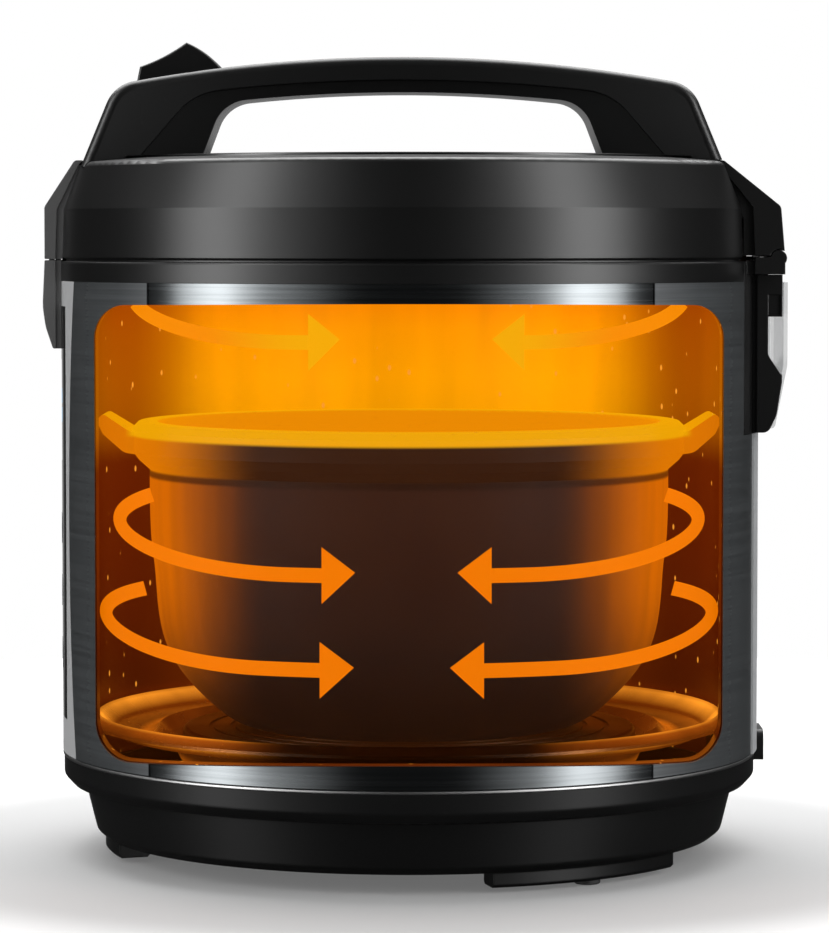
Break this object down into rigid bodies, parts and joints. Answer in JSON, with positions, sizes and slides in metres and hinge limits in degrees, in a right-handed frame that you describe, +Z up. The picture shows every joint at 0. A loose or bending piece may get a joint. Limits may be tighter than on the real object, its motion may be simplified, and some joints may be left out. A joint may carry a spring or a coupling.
{
  "type": "multicooker",
  "caption": "Round countertop multicooker with a glazed window in its side wall, ceramic pot, hinged lid, carrying handle, latch and condensate cup.",
  "frame": {"origin": "on the body's vertical axis, on the plane that the foot pads stand on", "axes": "+Z up, +X towards the hinge and the power inlet, -X the latch and the control panel, -Y the window"},
  "size_m": [0.3069, 0.29, 0.3371],
  "materials": {
    "black_plastic": "satin black, fine grain",
    "board_green": "circuit board",
    "brass_pins": "contact pins",
    "button_grey": "soft touch",
    "cup_clear": "clear plastic",
    "dark_steel": "dark brushed, satin outside the window",
    "dish_metal": "polished, pressed rings",
    "display_glass": "dark display window",
    "gasket_rubber": "grey silicone",
    "gloss_black": "polished",
    "heater_steel": "heat-tinted",
    "inlet_white": "moulded inlet",
    "light_steel": "brushed",
    "liner_metal": "polished, warm",
    "pad_rubber": "matt",
    "pane_glass": "amber tint",
    "panel_grey": "light grey",
    "panel_silver": "silver grey satin",
    "pin_steel": "polished",
    "plate_metal": "cast, machined rings",
    "pot_glaze": "dark brown glaze, warm rim",
    "seal_rubber": "matt",
    "spring_steel": "wire"
  },
  "bodies": {
    "cooker_body": {"base_housing": "black_plastic", "bottom_cover": "black_plastic", "bottom_screws": "pin_steel", "foot_pads": "pad_rubber", "side_wall_window": "dark_steel", "side_wall_far": "dark_steel", "window_pane": "pane_glass", "window_seal": "seal_rubber", "window_frame": "liner_metal", "front_panel": "panel_silver", "front_fascia": "gloss_black", "display_window": "display_glass", "display_module": "display_glass", "rear_panel": "panel_grey", "rear_frame": "black_plastic", "top_ring": "black_plastic", "chamber_liner": "liner_metal", "reflector_dish": "dish_metal", "heater_plate": "plate_metal", "heating_element": "heater_steel", "side_heater_band": "heater_steel", "sensor_guide": "light_steel", "sensor_spring": "spring_steel", "power_inlet": "inlet_white", "inlet_pins": "brass_pins", "power_board": "board_green", "control_board": "board_green", "thermal_fuse": "heater_steel", "collector_holder": "black_plastic", "hinge_pin": "pin_steel", "hinge_spring": "spring_steel", "front_catch_cover": "black_plastic", "catch_striker": "pin_steel"},
    "lid": {"lid_shell": "black_plastic", "lid_top_plate": "light_steel", "handle_arch": "black_plastic", "handle_liner": "black_plastic", "lid_front_cover": "black_plastic", "lid_hinge_cover": "black_plastic", "lid_inner_frame": "black_plastic", "lid_heater": "heater_steel", "inner_lid": "light_steel", "lid_gasket": "gasket_rubber", "vent_tube": "black_plastic", "lid_screws": "pin_steel", "latch_pin": "pin_steel"},
    "release": {"release_slider": "gloss_black", "release_rod": "black_plastic"},
    "hook": {"latch_hook": "black_plastic"},
    "pot_body": {"pot": "pot_glaze"},
    "plunger": {"sensor_plunger": "light_steel"},
    "cup": {"collector_cup": "cup_clear"},
    "knob": {"inner_lid_knob": "black_plastic"},
    "vent": {"steam_vent": "gloss_black"},
    "button_menu_body": {"button_menu": "button_grey"},
    "button_minus_body": {"button_minus": "button_grey"},
    "button_plus_body": {"button_plus": "button_grey"},
    "button_start_body": {"button_start": "button_grey"},
    "button_stop_body": {"button_stop": "button_grey"},
    "button_time_body": {"button_time": "button_grey"}
  },
  "joints": [
    {"name": "lid_hinge", "type": "hinge", "parent": "cooker_body", "child": "lid", "pos_m": [0.1505, 0, 0.248], "axis": [0, 1, 0], "range_deg": [0, 85]},
    {"name": "release_slide", "type": "slide", "parent": "lid", "child": "release", "axis": [0.9857, 0, 0.1685], "range_m": [0, 0.0045], "stiffness_N_per_m": 400, "springref_m": -0.002},
    {"name": "latch_swing", "type": "hinge", "parent": "lid", "child": "hook", "pos_m": [-0.1426, 0, 0.262], "axis": [0, 1, 0], "range_deg": [0, 14]},
    {"name": "pot_lift", "type": "slide", "parent": "cooker_body", "child": "pot_body", "axis": [0, 0, 1], "range_m": [0, 0.045]},
    {"name": "sensor_press", "type": "slide", "parent": "cooker_body", "child": "plunger", "axis": [0, 0, 1], "range_m": [-0.003, 0], "stiffness_N_per_m": 300, "springref_m": 0.002, "deforming": ["sensor_spring"]},
    {"name": "cup_pull", "type": "slide", "parent": "cooker_body", "child": "cup", "axis": [1, 0, 0], "range_m": [0, 0.03]},
    {"name": "inner_lid_knob_turn", "type": "hinge", "parent": "lid", "child": "knob", "pos_m": [0, 0, 0.25], "axis": [0, 0, 1], "range_deg": [0, 90]},
    {"name": "steam_vent_lift", "type": "slide", "parent": "lid", "child": "vent", "axis": [0, 0, 1], "range_m": [0, 0.03]},
    {"name": "press_menu", "type": "slide", "parent": "cooker_body", "child": "button_menu_body", "axis": [1, 0, 0], "range_m": [0, 0.0008], "stiffness_N_per_m": 500},
    {"name": "press_minus", "type": "slide", "parent": "cooker_body", "child": "button_minus_body", "axis": [1, 0, 0], "range_m": [0, 0.0008], "stiffness_N_per_m": 500},
    {"name": "press_plus", "type": "slide", "parent": "cooker_body", "child": "button_plus_body", "axis": [1, 0, 0], "range_m": [0, 0.0008], "stiffness_N_per_m": 500},
    {"name": "press_start", "type": "slide", "parent": "cooker_body", "child": "button_start_body", "axis": [1, 0, 0], "range_m": [0, 0.0008], "stiffness_N_per_m": 500},
    {"name": "press_stop", "type": "slide", "parent": "cooker_body", "child": "button_stop_body", "axis": [1, 0, 0], "range_m": [0, 0.0008], "stiffness_N_per_m": 500},
    {"name": "press_time", "type": "slide", "parent": "cooker_body", "child": "button_time_body", "axis": [1, 0, 0], "range_m": [0, 0.0008], "stiffness_N_per_m": 500}
  ],
  "couplings": [
    {"joint": "latch_swing", "follows": "release_slide", "rad_per_m": 53.3}
  ]
}
